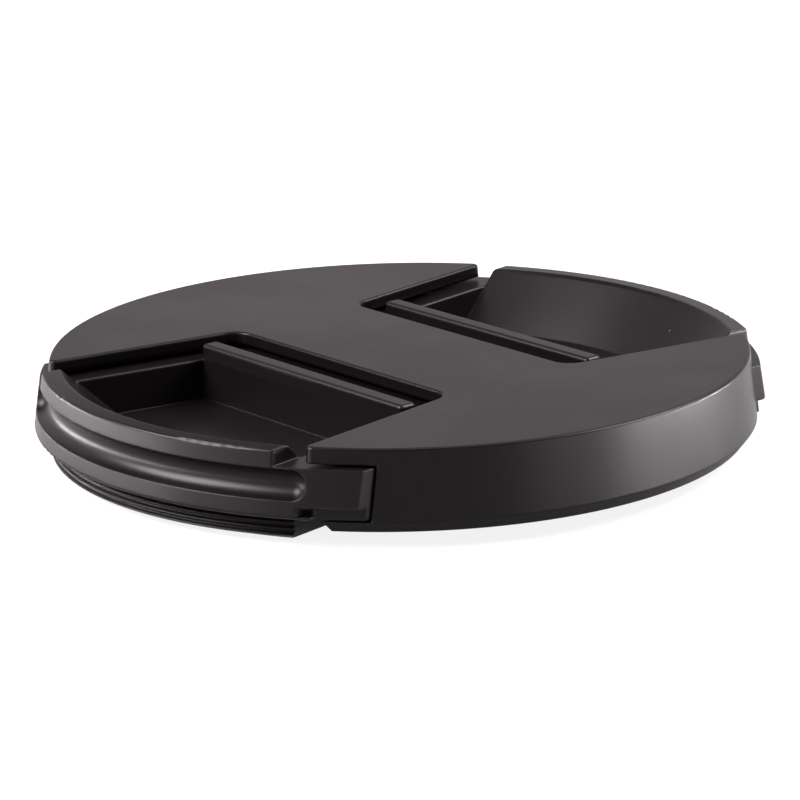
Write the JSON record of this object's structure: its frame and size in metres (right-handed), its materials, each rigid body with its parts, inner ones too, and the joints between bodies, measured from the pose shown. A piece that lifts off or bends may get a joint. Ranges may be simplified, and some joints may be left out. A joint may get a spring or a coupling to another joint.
{
  "type": "camera lens cap",
  "caption": "Round centre-pinch cap for a camera lens: a flat cover with sprung latches that slide in finger wells and let go of the lens's filter thread when pinched.",
  "frame": {"origin": "on the axis of the cap, level with the undersides of the latches' feet, which are its lowest faces", "axes": "+Z along the lens axis towards the cap's flat front, X along the slide of the latches"},
  "size_m": [0.0902, 0.0878, 0.0117],
  "materials": {
    "cover_plastic": "fine satin mould texture",
    "back_plastic": "matt moulded",
    "latch_plastic": "satin moulded",
    "spring_steel": "drawn wire"
  },
  "bodies": {
    "cap": {"front_cover": "cover_plastic", "back_plate": "back_plastic", "left_spring": "spring_steel", "right_spring": "spring_steel"},
    "left_latch": {"left_latch": "latch_plastic"},
    "right_latch": {"right_latch": "latch_plastic"}
  },
  "joints": [
    {"name": "left_slide", "type": "slide", "parent": "cap", "child": "left_latch", "axis": [1, 0, 0], "range_m": [0, 0.0032], "stiffness_N_per_m": 800, "springref_m": -0.0025, "deforming": ["left_spring"]},
    {"name": "right_slide", "type": "slide", "parent": "cap", "child": "right_latch", "axis": [-1, 0, 0], "range_m": [0, 0.0032], "stiffness_N_per_m": 800, "springref_m": -0.0025, "deforming": ["right_spring"]}
  ]
}
